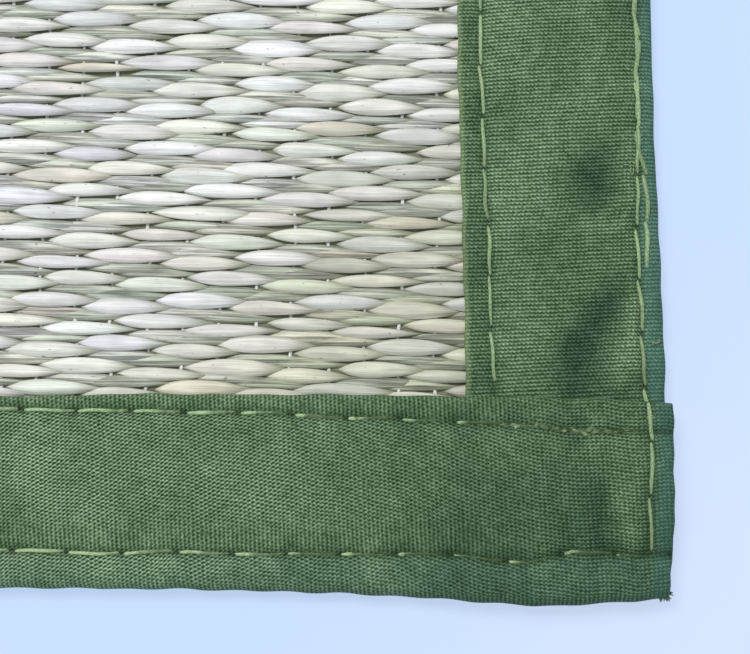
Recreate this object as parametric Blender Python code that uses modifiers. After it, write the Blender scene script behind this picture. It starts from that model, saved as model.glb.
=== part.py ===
"""A small floor mat of woven rush with folded cloth bindings, lying flat. Metres, +Z up.

X runs along the rush stems and Y along the warp threads. The origin is on the floor under
the middle of the mat. A strip of cloth is folded round each long side, and then another
round each end, over the ends of the first two.
"""

import math

import bmesh
import bpy
import numpy as np

MM = 0.001

# Overall size
MAT_WIDTH = 600 * MM
MAT_LENGTH = 900 * MM

# Woven rush
RUSH_THICKNESS = 2.5 * MM
RIM_UNDERSIDE = 1.3 * MM  # the rim's underside lies on the lower legs of the bindings
RUSH_INSET = 4.4 * MM  # from the mat's edge to the rush inside the fold
FIELD_INSET = 27.5 * MM  # from the mat's edge to where the rush reaches down to the floor
RIM_SLOPE = 1.5 * MM
NOTCH_LENGTH = 37 * MM  # the rush is cut away here, under the crossed bindings

# Binding cloth, doubled. Heights are those of the cloth's middle surface.
CLOTH_THICKNESS = 1.0 * MM
BAND_UNDER = 24.5 * MM  # how far the lower leg reaches in from the edge
SIDE_INSET = 0.8 * MM  # the end bindings stick out this far past the side bindings
SIDE_END_INSET = 5.0 * MM  # from the mat's end to the side bindings' ends, inside the fold
LOWER_LEG = 0.5 * MM
UPPER_LEG = 3.4 * MM
LOWER_LEG_IN_CORNER = 1.8 * MM
UPPER_LEG_OVER_CORNER = 4.8 * MM
CORNER_REACH = 27.5 * MM  # from a strip's end to where the two strips stop crossing
CORNER_RAMP = 7.5 * MM

# Relief of the upper leg
SEAM_DEPTH = 0.2 * MM
PUFF_HEIGHT = 0.35 * MM
PUFF_PERIOD = 85 * MM
PUFF_SHARES = (0.25, 0.5, 0.75)  # where the cloth is measured between its two seams
FOLD_STEPS = 4

# Outlines, in mm: how far the strip's outer and inner edges lie in from its straight
# outer line, by the distance from the strip's end.
# (from_end, outer, inner)
SIDE_OUTLINE = (
    (0, 0.2, 25.8),
    (27, 0.0, 25.9),
    (37, 0.35, 26.1),
    (48, 0.85, 26.4),
    (65, 1.3, 27.1),
    (80, 1.6, 27.4),
    (130, 1.5, 27.2),
    (250, 1.0, 26.5),
    (450, 0.8, 26.3),
)
END_OUTLINE = (
    (0, 1.6, 26.2),
    (5, 0.7, 26.5),
    (18, 0.0, 26.6),
    (33, 1.0, 26.6),
    (52, 1.5, 26.6),
    (72, 1.5, 26.3),
    (85, 1.3, 25.8),
    (150, 0.9, 26.2),
    (300, 1.1, 26.3),
)
# Slow waves along both edges
# (height in mm, length in mm)
EDGE_WAVES = ((0.22, 233), (0.13, 97))

# Stations along a strip, in mm from its end
PLAIN_STATIONS = (0, 9, 18, 27.5, 31, 35, 47, 60)
FINE_STATIONS = (0, 4, 9, 13, 18, 23, 27.5, 31, 35, 40, 45, 50, 55, 60, 66)
STATION_STEP = 18 * MM

# The seams of each kind of strip, in mm
# kind: (outer seam from the outer edge, inner seam from the inner edge, outline)
KINDS = {
    "side": (2.8, 3.3, SIDE_OUTLINE),
    "end": (5.6, 2.3, END_OUTLINE),
}
# The low and high ends of a strip are the ends of its own Y axis. Their unevenness is
# a share of the outline's, and an end is fine where its folds are known.
# name: (kind, turn in degrees, low end, high end, fine low, fine high, wave phase)
STRIPS = {
    "side_binding_right": ("side", 0, 1.0, 0.6, True, False, 0.4),
    "side_binding_left": ("side", 180, 0.5, 0.8, False, False, 2.1),
    "end_binding_near": ("end", -90, 0.5, 1.0, False, True, 1.3),
    "end_binding_far": ("end", 90, 0.7, 0.4, False, False, 3.6),
}
# Soft folds in mm, from one point to another, each (from the outer line, from the end)
# name: ((end, first point, last point, half width, height), ...)
SOFT_FOLDS = {
    "side_binding_right": (
        ("low", (5.0, 55), (5.0, 57), 3.5, 0.30),
        ("low", (8.9, 53), (8.9, 58), 4.0, -0.40),
        ("low", (6.7, 40), (12.0, 33), 2.8, -0.45),
        ("low", (4.7, 33), (4.7, 38), 3.5, 0.35),
    ),
    "end_binding_near": (
        ("high", (8.0, 9.8), (14.5, 9.8), 2.5, -0.35),
        ("high", (8.0, 6.2), (13.0, 6.2), 2.8, 0.30),
    ),
}

RUSH_COLOUR = (0.48, 0.50, 0.42, 1.0)
CLOTH_COLOUR = (0.10, 0.17, 0.09, 1.0)


def collection_of(name):
    found = bpy.data.collections.new(name)
    bpy.context.scene.collection.children.link(found)
    return found


def material_of(name, colour, roughness):
    material = bpy.data.materials.new(name)
    material.use_nodes = True
    shader = material.node_tree.nodes["Principled BSDF"]
    shader.inputs["Base Color"].default_value = colour
    shader.inputs["Roughness"].default_value = roughness
    shader.inputs["Metallic"].default_value = 0.0
    return material


def object_of(name, bm, material, collection):
    mesh = bpy.data.meshes.new(name)
    bm.to_mesh(mesh)
    bm.free()
    mesh.materials.append(material)
    made = bpy.data.objects.new(name, mesh)
    collection.objects.link(made)
    return made


def grid_on(columns, rows):
    """A flat grid, and for each of its vertices the column and the row that it is in."""
    bm = bmesh.new()
    bmesh.ops.create_grid(bm, x_segments=columns - 1, y_segments=rows - 1, size=1)
    places = {
        vertex: (
            round((vertex.co.x + 1) / 2 * (columns - 1)),
            round((vertex.co.y + 1) / 2 * (rows - 1)),
        )
        for vertex in bm.verts
    }
    return bm, places


def mirrored(distances):
    return [-d for d in reversed(distances)] + list(distances)


def rush_panel(collection):
    """The woven rush: its field rests on the floor, and its rim is inside the bindings."""
    half = (MAT_WIDTH / 2, MAT_LENGTH / 2)
    edge = [h - RUSH_INSET for h in half]
    field = [h - FIELD_INSET for h in half]
    rim = [f + RIM_SLOPE for f in field]
    slope_middle = [f + RIM_SLOPE / 2 for f in field]
    notch = half[1] - NOTCH_LENGTH
    columns = mirrored((field[0], rim[0], edge[0]))
    rows = mirrored((notch, field[1], rim[1], edge[1]))

    bm, places = grid_on(len(columns), len(rows))
    for vertex, (column, row) in places.items():
        vertex.co = (columns[column], rows[row], 0)
    in_corners = [
        face
        for face in bm.faces
        if abs(face.calc_center_median().x) > rim[0]
        and abs(face.calc_center_median().y) > notch
    ]
    bmesh.ops.delete(bm, geom=in_corners, context="FACES")

    lower = list(bm.verts)
    raised = bmesh.ops.extrude_face_region(bm, geom=list(bm.faces))["geom"]
    for piece in raised:
        if isinstance(piece, bmesh.types.BMVert):
            piece.co.z = RUSH_THICKNESS
    for vertex in lower:
        x, y = abs(vertex.co.x), abs(vertex.co.y)
        in_field = x < slope_middle[0] and y < slope_middle[1]
        vertex.co.z = 0 if in_field else RIM_UNDERSIDE
    bmesh.ops.recalc_face_normals(bm, faces=list(bm.faces))

    material = material_of("woven rush", RUSH_COLOUR, 0.55)
    return object_of("rush_panel", bm, material, collection)


def stations_of(length, inset, fine_low, fine_high):
    """Places along a strip, closer together at its ends, which are inset from the mat's."""
    tables = (FINE_STATIONS if fine else PLAIN_STATIONS for fine in (fine_low, fine_high))
    low, high = (
        [inset] + [d * MM for d in table if d * MM > inset + CLOTH_THICKNESS]
        for table in tables
    )
    plain = length - low[-1] - high[-1]
    steps = math.ceil(plain / STATION_STEP)
    middle = [low[-1] + plain * i / steps for i in range(1, steps)]
    return np.array(low + middle + [length - d for d in reversed(high)]) - length / 2


def outline_of(kind, along, half_length, low_share, high_share, phase):
    """The outer and the inner edge's distance from the strip's outer line, by station."""
    table = np.array(KINDS[kind][2]) * MM
    from_end = half_length - np.abs(along)
    share = np.where(along < 0, low_share, high_share)
    edges = []
    for column in (1, 2):
        middle = table[-1, column]
        edge = middle + share * (np.interp(from_end, table[:, 0], table[:, column]) - middle)
        for height, period in EDGE_WAVES:
            turn = 2 * math.pi * along / (period * MM) + phase * column
            edge = edge + height * MM * (1 - share / 2) * np.sin(turn)
        edges.append(edge)
    outer, inner = edges
    return outer - outer.min(), inner


def crossing(from_end):
    """1 where a strip crosses another at the mat's corner, 0 away from it."""
    share = (CORNER_REACH + CORNER_RAMP - from_end) / CORNER_RAMP
    share = min(max(share, 0), 1)
    return share * share * (3 - 2 * share)


def distance_to_run(point, first, last):
    point, first, last = (np.array(p, float) for p in (point, first, last))
    run = last - first
    share = np.clip((point - first) @ run / max(run @ run, 1e-12), 0, 1)
    return float(np.linalg.norm(point - first - share * run))


def soft_folds(name, across, along, half_length):
    """The height that the strip's known folds add at one point."""
    end = "low" if along < 0 else "high"
    point = (across / MM, (half_length - abs(along)) / MM)
    height = 0.0
    for side, first, last, half_width, rise in SOFT_FOLDS.get(name, ()):
        if side == end:
            off = distance_to_run(point, first, last) / half_width
            height += rise * MM * math.exp(-off * off)
    return height


def section_of(name, kind, along, half_length, outer, inner):
    """One section of the cloth's middle surface, from the lower leg round to the upper."""
    corner = crossing(half_length - abs(along))
    lower, upper = LOWER_LEG, UPPER_LEG
    if kind == "side":
        lower += corner * (LOWER_LEG_IN_CORNER - LOWER_LEG)
    else:
        upper += corner * (UPPER_LEG_OVER_CORNER - UPPER_LEG)
    radius = (upper - lower) / 2
    centre = outer + CLOTH_THICKNESS / 2 + radius
    section = [(BAND_UNDER, lower), ((BAND_UNDER + centre) / 2, lower)]
    for step in range(FOLD_STEPS + 1):
        angle = math.pi * (step / FOLD_STEPS - 0.5)
        fold = centre - radius * math.cos(angle)
        section.append((fold, lower + radius * (1 + math.sin(angle))))

    # Where the strips cross, the relief is held back so that one lies clear of the other
    outer_seam, inner_seam = (KINDS[kind][i] * MM for i in (0, 1))
    first, last = outer + outer_seam, inner - inner_seam
    deepest = SEAM_DEPTH * (1 - corner / 2 if kind == "end" else 1 - corner)
    puff = PUFF_HEIGHT * (1 - corner if kind == "side" else 1)
    wave = 0.7 + 0.3 * math.sin(2 * math.pi * along / PUFF_PERIOD + len(name))
    relief = [(first, -deepest)]
    for share in PUFF_SHARES:
        across = first + share * (last - first)
        rise = puff * wave * math.sin(math.pi * share)
        folds = soft_folds(name, across, along, half_length)
        if kind == "side":
            folds *= 1 - corner
        relief.append((across, max(rise + folds, -deepest)))
    relief += [(last, -deepest), (inner, 0)]
    section += [(max(across, centre + 0.4 * MM), upper + rise) for across, rise in relief]
    return section


def binding(name, collection):
    """A strip of cloth folded round one edge: its own Y along it, -X in from the edge."""
    kind, turn, low_share, high_share, fine_low, fine_high, phase = STRIPS[name]
    if kind == "side":
        length, edge, inset = MAT_LENGTH, MAT_WIDTH / 2 - SIDE_INSET, SIDE_END_INSET
    else:
        length, edge, inset = MAT_WIDTH, MAT_LENGTH / 2, 0.0
    half_length = length / 2
    along = stations_of(length, inset, fine_low, fine_high)
    outer, inner = outline_of(kind, along, half_length, low_share, high_share, phase)
    sections = [
        section_of(name, kind, y, half_length, first, last)
        for y, first, last in zip(along, outer, inner)
    ]

    bm, places = grid_on(len(sections[0]), len(sections))
    for vertex, (column, row) in places.items():
        across, height = sections[row][column]
        vertex.co = (-across, along[row], height)
    material = material_of(name.replace("_", " ") + " cloth", CLOTH_COLOUR, 0.8)
    made = object_of(name, bm, material, collection)
    made.data.shade_smooth()
    radians = math.radians(turn)
    made.location = (edge * math.cos(radians), edge * math.sin(radians), 0)
    made.rotation_euler = (0, 0, radians)

    thick = made.modifiers.new("doubled cloth", "SOLIDIFY")
    thick.thickness = CLOTH_THICKNESS
    thick.offset = 0
    thick.use_even_offset = True
    thick.use_quality_normals = True
    return made


def main():
    for old in list(bpy.data.objects):
        bpy.data.objects.remove(old, do_unlink=True)
    mat = collection_of("rush mat")
    rush_panel(mat)
    for name in STRIPS:
        binding(name, mat)


main()
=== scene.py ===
"""The looks of a small woven rush mat with green cloth bindings.

The mat lies on the floor, rush stems along X and warp threads along Y. Every float of the
weave is a leaf-shaped shell over a ground darkened as painted shade, and each binding is a
thin folded sheet with its seams drawn in and its stitches laid on it. The corner at +X, -Y
is nearest the camera and is made finer than the rest.
"""

import math

import bpy
import numpy as np
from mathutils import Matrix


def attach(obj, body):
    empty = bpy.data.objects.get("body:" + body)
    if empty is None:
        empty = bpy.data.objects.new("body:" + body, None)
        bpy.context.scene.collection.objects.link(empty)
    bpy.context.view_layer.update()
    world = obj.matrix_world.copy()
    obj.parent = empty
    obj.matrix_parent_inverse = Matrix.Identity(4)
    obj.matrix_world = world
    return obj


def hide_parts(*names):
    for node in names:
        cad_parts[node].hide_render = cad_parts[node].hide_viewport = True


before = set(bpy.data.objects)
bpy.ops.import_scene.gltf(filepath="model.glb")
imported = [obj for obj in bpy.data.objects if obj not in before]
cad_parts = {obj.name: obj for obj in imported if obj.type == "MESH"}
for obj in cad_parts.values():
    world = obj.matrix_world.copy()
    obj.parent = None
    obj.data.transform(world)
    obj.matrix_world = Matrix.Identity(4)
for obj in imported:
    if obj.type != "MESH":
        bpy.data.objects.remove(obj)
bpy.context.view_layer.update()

MM = 0.001

# The mat, in metres
MAT_WIDTH = 600 * MM
MAT_LENGTH = 900 * MM
SIDE_INSET = 0.8 * MM
CORNER = np.array((MAT_WIDTH / 2, -MAT_LENGTH / 2))  # the corner that the camera sees

# The camera
LOOK_AT = (261.35 * MM, -414.4 * MM, 3.0 * MM)
LENS_MM = 72.0
SENSOR_MM = 36.0
DISTANCE = 195 * MM
TILT_DEGREES = 5.3
ROLL_DEGREES = 0.8

# The light and the floor
SUN_STRENGTH = 2.0
SUN_BREADTH_DEGREES = 24
SUN_COLOUR = (1.0, 0.985, 0.95)
SUN_TURN_DEGREES = (-26, -20, 0)
SKY_COLOUR = (0.90, 0.95, 1.0, 1)
SKY_STRENGTH = 0.62
FLOOR_HALF = 8.0
FLOOR_HEIGHT = -0.05 * MM
FLOOR_COLOUR = (0.355, 0.452, 0.610, 1)
# A painted pool of light: the floor's colour beside the mat's corners
FLOOR_LIGHT_POOL = (0.404, 0.473, 0.610, 1)  # beside the mat's corners

# The weave, in metres
WARP_PITCH = 4.7125 * MM
GROUP = 2.886 * MM  # four stems lie side by side in this much of the length
ANCHOR = (248.06 * MM, -405.93 * MM)  # the middle of one upper float, and of its group
STEPS_IN_REPEAT = 4
# across: from the group's middle, crest: height of the float's back, all in mm
# (kind, across, phase in warp pitches, length, width, crest, dive, rounding)
STEMS = (
    ("sunk", 1.16, 2, 13.2, 1.66, 2.50, 0.70, 0.40),
    ("proud", 0.46, 0, 13.1, 2.04, 2.95, 0.95, 0.48),
    ("proud", -0.46, 2, 13.1, 2.04, 2.95, 0.95, 0.48),
    ("sunk", -1.16, 0, 13.2, 1.66, 2.50, 0.70, 0.40),
)
HERO_REACH = (100 * MM, 92 * MM)  # from the corner, where floats are made fine
FIELD_MARGIN = 4.5 * MM  # floats run on this far under the bindings
BAND_INNER = 26.0 * MM
PIECE_COLUMNS = 3  # the plain floats are split into this many pieces
# Steps along and across one float
FINE_FLOAT = (22, 9)
PLAIN_FLOAT = (3, 3)
UNDER_FLOAT = (2, 3)
UNDER_MIRROR = 3.0 * MM  # the underside's floats are the top's, turned over about 1.5 mm
GROUND_TRIM = 4.4 * MM  # the slab under the floats ends this far inside the mat's edges
GROUND_TOP = 1.85 * MM
GROUND_BOTTOM = 1.15 * MM
GROUND_GRID = (31, 46)
WARP_HEIGHT = 1.85 * MM
WARP_RADIUS = 0.24 * MM
WARP_TRIM = 20 * MM
WARP_STEP = 20 * MM

# The bindings, in metres. Heights are those of the cloth's outer surface.
SIDE_END_INSET = 5.0 * MM
UNDERSIDE = 0.2 * MM
TOP = 3.9 * MM
UNDERSIDE_IN_CORNER = 1.3 * MM
TOP_OVER_CORNER = 5.3 * MM
RUSH_TOP = 2.75 * MM
CORNER_REACH = 27.5 * MM
CORNER_RAMP = 7.5 * MM
GROOVE = 0.42 * MM
GROOVE_HALF_WIDTH = 0.75 * MM
PUCKER = 0.19 * MM
PUCKER_HALF_WIDTH = 2.6 * MM
PUCKER_SLANT = 1.9 * MM
PUFF = 0.5 * MM
THREAD_RADIUS = 0.25 * MM
# Steps along one stitch and round its thread
FINE_TUBE = (13, 7)
PLAIN_TUBE = (6, 4)
UNDER_TUBE = (5, 4)
CROSSING_END = 7.25 * MM  # a side's outer seam runs over the end strip to this near its edge
SEAM_END = 3.7 * MM  # an end strip's outer seam stops this far from the corners
SIDE_INNER_END = 26.0 * MM  # a side's inner seam goes under the end strip here
SECOND_RUN = (40 * MM, 104 * MM)  # where the right side's outer seam is sewn twice
SECOND_PITCH = 6.1 * MM
# Small tangles of thread beside that seam
# (from the strip's end, from its outer line, spread) in mm, and how many bits of thread
KNOTS = ((34.0, 1.6, 0.5, 4), (24.4, 2.6, 0.6, 5), (31.0, 2.9, 0.3, 3), (57.2, 4.5, 1.0, 5))
# Thick places of the tangled thread in the near end strip's inner seam, in mm
# (from the strip's end, half length, share of the plain thickness that it adds)
TANGLE_LUMPS = ((10.8, 1.1, 1.1), (13.9, 1.5, 0.55), (17.2, 1.3, 0.45), (20.9, 0.9, 0.35))

# Outlines and seams in mm: how far each lies in from the strip's outer line, by the
# distance from the strip's end
# (from_end, outer edge, inner edge)
SIDE_OUTLINE = (
    (0, 0.2, 25.8), (27, 0.0, 25.9), (37, 0.10, 26.1), (48, 0.62, 26.4), (65, 1.3, 27.1),
    (80, 1.6, 27.4), (130, 1.5, 27.2), (250, 1.0, 26.5), (450, 0.8, 26.3),
)
END_OUTLINE = (
    (0, 1.6, 26.2), (5, 0.7, 26.5), (18, 0.0, 26.6), (33, 1.0, 26.6), (52, 1.5, 26.6),
    (72, 1.5, 26.3), (85, 1.3, 25.8), (150, 0.9, 26.2), (300, 1.1, 26.3),
)
# (from_end, outer seam, inner seam)
SIDE_SEAMS = (
    (0, 2.3, 22.0), (7, 2.6, 22.0), (20, 2.2, 22.1), (25, 2.6, 22.2), (29, 2.9, 22.3),
    (33, 3.3, 22.6), (48, 3.8, 23.3), (58, 3.9, 23.9), (70, 3.9, 24.5), (130, 3.7, 24.1),
    (450, 3.5, 23.3),
)
END_SEAMS = (
    (0, 7.0, 22.4), (4, 7.0, 22.5), (8.5, 7.1, 22.6), (11, 6.9, 22.5), (13.2, 7.7, 22.5),
    (15.5, 6.7, 22.7), (19, 5.2, 22.9), (22, 6.0, 22.9), (28, 6.4, 23.4), (35, 6.4, 23.8),
    (56, 6.3, 24.2), (80, 6.2, 24.2), (300, 6.1, 24.0),
)
EDGE_WAVES = ((0.22, 233), (0.13, 97))
# kind: (outline, seams, stitch pitch, how far a needle hole of each seam is from the end)
KINDS = {
    "side": (SIDE_OUTLINE, SIDE_SEAMS, 7.0, (7.25, 35.7)),
    "end": (END_OUTLINE, END_SEAMS, 7.0, (0.5, 7.0)),
}
# name: (kind, turn in degrees, low end, high end, fine end, wave phase)
STRIPS = {
    "side_binding_right": ("side", 0, 1.0, 0.6, "low", 0.4),
    "side_binding_left": ("side", 180, 0.5, 0.8, None, 2.1),
    "end_binding_near": ("end", -90, 0.5, 1.0, "high", 1.3),
    "end_binding_far": ("end", 90, 0.7, 0.4, None, 3.6),
}
# Soft folds at a strip's fine end, from one point to another, in mm
# name: ((first point, last point, half width, height), ...), each point (from the outer
# line, from the end)
SOFT_FOLDS = {
    "side_binding_right": (
        ((5.0, 54), (5.2, 57), 2.2, 0.35),
        ((9.3, 52), (8.7, 58), 2.8, -0.40),
        ((6.7, 40), (12.0, 33), 1.9, -0.45),
        ((12.0, 33), (12.6, 28), 2.0, -0.35),
        ((4.9, 32), (4.9, 38), 2.2, 0.40),
    ),
    "end_binding_near": (
        ((8.2, 9.4), (14.5, 10.2), 1.5, -0.35),
        ((7.8, 6.0), (13.5, 6.6), 1.9, 0.35),
    ),
}
# Painted light and shade on the cloth beside these folds, in mm
# name: ((from the outer line, from the end, reach across, reach along, change), ...)
PAINTED_FOLD_SHADES = {
    "side_binding_right": (
        (11.4, 55.5, 3.0, 3.0, -0.26), (8.3, 49.8, 3.5, 2.2, 0.34),
        (6.7, 38.6, 1.6, 2.5, -0.14), (10.6, 33.1, 1.8, 2.5, -0.16),
        (11.9, 28.7, 2.0, 2.2, -0.10), (16.6, 31.0, 3.0, 5.0, 0.15),
        (6.3, 30.0, 2.3, 3.2, 0.32), (4.3, 35.3, 1.4, 4.0, 0.42),
    ),
    "end_binding_near": (
        (3.0, 6.8, 4.5, 5.0, 0.33), (18.5, 6.5, 5.5, 4.5, 0.50), (10.0, 5.9, 3.0, 3.0, 0.20),
        (10.5, 9.6, 3.5, 1.4, 0.25), (10.4, 13.5, 4.0, 2.4, -0.12),
    ),
}


def smooth(x):
    x = np.clip(x, 0, 1)
    return x * x * (3 - 2 * x)


def wavy(x, seed, lengths):
    """A smooth uneven wave between about -1 and 1, made of waves of these lengths."""
    phases = np.random.default_rng(seed).uniform(0, 2 * math.pi, len(lengths))
    total = sum(np.sin(2 * math.pi * x / n + p) for n, p in zip(lengths, phases))
    return total / math.sqrt(len(lengths))


def bell(x, half_width):
    return np.exp(-((x / half_width) ** 2))


def joined(parts, face_columns=(1,)):
    """Arrays of several parts as one mesh's, with their faces numbered on."""
    first, moved = 0, []
    for part in parts:
        moved.append([a + first if i in face_columns else a for i, a in enumerate(part)])
        first += len(part[0])
    return [np.concatenate(column) for column in zip(*moved)]


def mesh_object(name, material, points, faces, vectors=(), tints=None, flat_map=None):
    """A smooth-shaded mesh object from arrays: faces is a list of index arrays."""
    mesh = bpy.data.meshes.new(name)
    faces = [np.asarray(f, np.int32) for f in faces if len(f)]
    corners = np.concatenate([f.ravel() for f in faces])
    sizes = np.concatenate([np.full(len(f), f.shape[1], np.int32) for f in faces])
    mesh.vertices.add(len(points))
    mesh.vertices.foreach_set("co", np.asarray(points, np.float32).ravel())
    mesh.loops.add(len(corners))
    mesh.loops.foreach_set("vertex_index", corners)
    mesh.polygons.add(len(sizes))
    mesh.polygons.foreach_set("loop_start", np.cumsum(sizes) - sizes)
    mesh.update(calc_edges=True)
    mesh.shade_smooth()
    for title, values in dict(vectors).items():
        layer = mesh.attributes.new(title, "FLOAT_VECTOR", "POINT")
        layer.data.foreach_set("vector", np.asarray(values, np.float32).ravel())
    if tints is not None:
        layer = mesh.attributes.new("tint", "FLOAT_COLOR", "POINT")
        layer.data.foreach_set("color", np.asarray(tints, np.float32).ravel())
    if flat_map is not None:
        layer = mesh.uv_layers.new(name="OFBake")
        layer.data.foreach_set("uv", np.asarray(flat_map, np.float32)[corners].ravel())
    mesh.materials.append(material)
    made = bpy.data.objects.new(name, mesh)
    bpy.context.scene.collection.objects.link(made)
    return made


def plan_map(points):
    """Texture places seen from straight above, filling the unit square."""
    flat = points[:, :2]
    low, high = flat.min(0), flat.max(0)
    return (flat - low) / max(high - low)


def grid_faces(rows, columns, first=0):
    i = np.arange(rows - 1)[:, None] * columns + np.arange(columns - 1)[None, :]
    i = i.ravel() + first
    return np.stack([i, i + 1, i + columns + 1, i + columns], 1)


# Node materials


class Nodes:
    """Short ways to add shader nodes and link them."""

    def __init__(self, name):
        self.material = bpy.data.materials.new(name)
        self.material.use_nodes = True
        self.tree = self.material.node_tree
        self.shader = self.tree.nodes["Principled BSDF"]

    def add(self, kind, inputs=(), **settings):
        node = self.tree.nodes.new(kind)
        for key, value in settings.items():
            setattr(node, key, value)
        for key, value in dict(inputs).items():
            self.put(value, node.inputs[key])
        return node

    def put(self, value, socket):
        if isinstance(value, bpy.types.NodeSocket):
            self.tree.links.new(value, socket)
        else:
            socket.default_value = value

    def math(self, operation, a, b=0.0, c=0.0):
        node = self.add("ShaderNodeMath", {0: a, 1: b, 2: c}, operation=operation)
        return node.outputs[0]

    def vector(self, operation, a, b, output=0):
        node = self.add("ShaderNodeVectorMath", {0: a, 1: b}, operation=operation)
        return node.outputs[output]

    def times(self, a, b):
        return self.math("MULTIPLY", a, b)

    def plus(self, a, b):
        return self.math("ADD", a, b)

    def place(self):
        return self.add("ShaderNodeTexCoord").outputs["Object"]

    def from_corner(self, near, far, to_near, to_far):
        """A value that changes with the distance from the nearest corner of the mat."""
        place = self.vector("ABSOLUTE", self.place(), (0, 0, 0))
        away = self.vector("SUBTRACT", place, (*np.abs(CORNER), 0.0))
        away = self.vector("LENGTH", away, (0, 0, 0), "Value")
        return self.remap(away, near, far, to_near, to_far, True)

    def attribute(self, name, output="Vector"):
        return self.add("ShaderNodeAttribute", attribute_name=name).outputs[output]

    def split(self, vector):
        return self.add("ShaderNodeSeparateXYZ", {0: vector}).outputs

    def join(self, x, y, z):
        return self.add("ShaderNodeCombineXYZ", {0: x, 1: y, 2: z}).outputs[0]

    def noise(self, vector, stretch, detail=2.0, roughness=0.5):
        inputs = {"Scale": 1.0, "Detail": detail, "Roughness": roughness}
        inputs["Vector"] = self.vector("MULTIPLY", vector, stretch)
        return self.add("ShaderNodeTexNoise", inputs).outputs["Fac"]

    def remap(self, value, low, high, to_low, to_high, smooth_ends=False):
        kind = "SMOOTHSTEP" if smooth_ends else "LINEAR"
        inputs = {0: value, 1: low, 2: high, 3: to_low, 4: to_high}
        return self.add("ShaderNodeMapRange", inputs, interpolation_type=kind).outputs[0]

    def mix(self, share, a, b, blend="MIX"):
        node = self.add("ShaderNodeMix", data_type="RGBA", blend_type=blend)
        for key, value in ((0, share), (6, a), (7, b)):
            self.put(value, node.inputs[key])
        return node.outputs[2]

    def bump(self, height, distance, strength=1.0):
        inputs = {"Height": height, "Distance": distance, "Strength": strength}
        return self.add("ShaderNodeBump", inputs).outputs[0]

    def finish(self, **inputs):
        for key, value in inputs.items():
            self.put(value, self.shader.inputs[key.replace("_", " ")])
        return self.material


def rush_material():
    """Dry flat stems, each its own colour, streaked lengthwise, olive at the tips; painted shade at
    tips, edges, corners.
    """
    n = Nodes("rush stems")
    stem = n.attribute("stem")  # mm along the float, mm across it, and its own number
    place = n.split(n.attribute("place"))  # -1 to 1 along and across, and 1 if proud
    tint = n.attribute("tint", "Color")

    sunk = n.math("SUBTRACT", 1.0, place[2])
    broad = n.noise(stem, (0.10, 1.7, 1.0), 2.0, 0.55)
    fine = n.noise(stem, (0.15, 6.0, 1.0), 3.0, 0.65)
    blotch = n.noise(stem, (0.30, 0.5, 1.0))

    depth = n.math("MULTIPLY_ADD", sunk, 0.28, 0.13)
    lowest = n.math("SUBTRACT", 1.0, n.times(depth, 1.5))
    shade = n.remap(broad, 0.36, 0.62, 0.86, 1.06)
    lines = n.remap(fine, 0.34, 0.58, lowest, n.math("MULTIPLY_ADD", depth, 0.25, 1.0))
    split = n.remap(n.noise(stem, (0.07, 2.9, 1.0), 1.0), 0.42, 0.54, 0.66, 1.05, True)
    fleck = n.noise(stem, (0.9, 2.6, 1.0), 1.0)
    for change in (
        lines,
        n.remap(place[2], 0.0, 1.0, split, 1.0),
        n.remap(blotch, 0.35, 0.65, 0.93, 1.05),
        n.remap(fleck, 0.73, 0.80, 1.0, 0.40),
    ):
        shade = n.times(shade, change)
    colour = n.mix(1.0, tint, n.join(shade, shade, shade), "MULTIPLY")
    # Painted shade: the stems grow darker and browner towards each corner of the mat
    painted_corner_shade = n.from_corner(0.052, 0.088, 1.0, 0.0)
    colour = n.mix(painted_corner_shade, colour, n.mix(1.0, colour, (0.76, 0.76, 0.665, 1), "MULTIPLY"))

    # Painted shade: the tips darken, the right-hand ones most and olive, partly the stems' own
    # colour
    # Both edges darken with painted shade too, the sunk floats' more than the proud ones'
    right = n.remap(place[0], 0.25, 1.0, 0.0, 0.90, True)
    left = n.remap(place[0], -0.80, -1.0, 0.0, 0.50, True)
    edge = n.math("POWER", n.math("ABSOLUTE", place[1]), 6.0)
    painted_stem_shade = n.math("MAXIMUM", right, left)
    painted_stem_shade = n.math("MULTIPLY_ADD", n.times(painted_stem_shade, sunk), 0.25, painted_stem_shade)
    painted_stem_shade = n.plus(painted_stem_shade, n.times(edge, n.math("MULTIPLY_ADD", sunk, 0.42, 0.46)))
    painted_stem_shade = n.times(painted_stem_shade, n.remap(fine, 0.36, 0.60, 1.30, 0.62))
    colour = n.mix(n.math("MINIMUM", painted_stem_shade, 0.9), colour, (0.200, 0.215, 0.130, 1))
    normal = n.bump(n.plus(n.times(broad, 0.9), n.times(fine, 0.45)), 0.00022, 0.6)
    rough = n.remap(broad, 0.3, 0.7, 0.66, 0.48)
    return n.finish(Base_Color=colour, Roughness=rough, Normal=normal, IOR=1.42)


def streaked_material(name, stretch, detail, dark, pale, roughness, depth):
    """Two colours in streaks that follow the mat's own directions."""
    n = Nodes(name)
    lines = n.noise(n.place(), stretch, detail)
    colour = n.mix(lines, dark, pale)
    return n.finish(Base_Color=colour, Roughness=roughness, Normal=n.bump(lines, depth))


def ground_material():
    """What shows in the crevices: the undersides of stems, in rush colours darkened as painted
    shade.
    """
    dark, pale = (0.08, 0.086, 0.050, 1), (0.31, 0.32, 0.21, 1)
    return streaked_material("rush ground", (60.0, 2400.0, 60.0), 3.0, dark, pale, 0.8, 0.0003)


def warp_material():
    dark, pale = (0.62, 0.64, 0.60, 1), (0.90, 0.92, 0.90, 1)
    return streaked_material("cotton warp", (900.0, 3000.0, 900.0), 1.0, dark, pale, 0.85, 0.0002)


# The pits' near-black is painted shade and the palest yarn backs carry painted highlight, over the
# cloth's own green
# Cloth colours, from the pits between the yarns to the yarns' backs
# (level, colour)
CLOTH_COLOURS = (
    (0.00, (0.000, 0.010, 0.000, 1)),
    (0.25, (0.018, 0.050, 0.013, 1)),
    (0.50, (0.076, 0.137, 0.066, 1)),
    (1.00, (0.380, 0.510, 0.350, 1)),
)
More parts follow.
